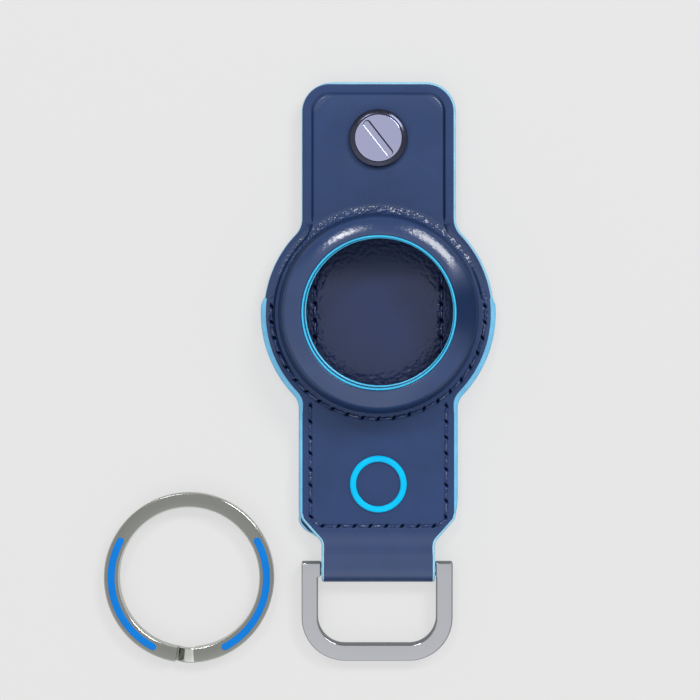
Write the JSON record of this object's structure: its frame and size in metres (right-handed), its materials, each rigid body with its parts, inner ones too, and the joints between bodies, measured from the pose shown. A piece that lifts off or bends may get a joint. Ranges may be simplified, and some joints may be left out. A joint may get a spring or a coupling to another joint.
{
  "type": "tracker tag holder",
  "caption": "Leather holder with a moulded round window pocket for a coin-shaped tracker tag, a screw-down flap, a D-ring on a folded strap and a loose split key ring.",
  "frame": {"origin": "on the resting plane, under the centre of the round pocket", "axes": "+Y along the holder towards the screw end, +X to the right seen from the front, +Z out of the front"},
  "size_m": [0.0691, 0.1024, 0.0122],
  "materials": {
    "navy_leather": "smooth calf leather, satin",
    "navy_lining": "glossy lining leather",
    "blue_edge_paint": "satin edge paint",
    "navy_thread": "waxed twisted thread",
    "polished_steel": "polished",
    "gunmetal": "dark plated, glossy",
    "screw_steel": "polished face",
    "ring_steel": "satin face, bright edges",
    "blue_enamel": "glossy enamel",
    "cyan_enamel": "glossy enamel"
  },
  "bodies": {
    "holder": {"front_leather": "navy_leather", "back_panel": "navy_leather", "dome_lining": "navy_lining", "window_edge_paint": "blue_edge_paint", "front_edge_paint": "blue_edge_paint", "back_edge_paint": "blue_edge_paint", "seam_edge_paint": "blue_edge_paint", "seam_thread": "navy_thread", "tongue_thread": "navy_thread", "screw_post": "polished_steel", "badge_ring": "cyan_enamel"},
    "flap": {"front_flap": "navy_leather", "flap_edge_paint": "blue_edge_paint"},
    "collar": {"screw_collar": "gunmetal"},
    "screw": {"clamp_screw": "screw_steel"},
    "d_ring": {"d_ring": "polished_steel"},
    "key_ring": {"split_ring": "ring_steel", "enamel_left": "blue_enamel", "enamel_right": "blue_enamel"}
  },
  "joints": [
    {"name": "flap_fold", "type": "hinge", "parent": "holder", "child": "flap", "pos_m": [0, 0.0206, 0.0036], "axis": [1, 0, 0], "range_deg": [0, 70]},
    {"name": "collar_lift", "type": "slide", "parent": "flap", "child": "collar", "axis": [0, 0, 1], "range_m": [0, 0.00227]},
    {"name": "screw_turn", "type": "hinge", "parent": "collar", "child": "screw", "pos_m": [0, 0.0308, 0.004], "axis": [0, 0, 1], "range_deg": [0, 1170]},
    {"name": "d_ring_swing", "type": "hinge", "parent": "holder", "child": "d_ring", "pos_m": [0, -0.045, 0.00233], "axis": [-1, 0, 0], "range_deg": [-110, 125]},
    {"name": "key_ring_lift", "type": "slide", "parent": "holder", "child": "key_ring", "axis": [0, 0, 1], "range_m": [0, 0.06]}
  ],
  "couplings": [
    {"joint": "screw_turn", "follows": "collar_lift", "rad_per_m": 8976}
  ]
}
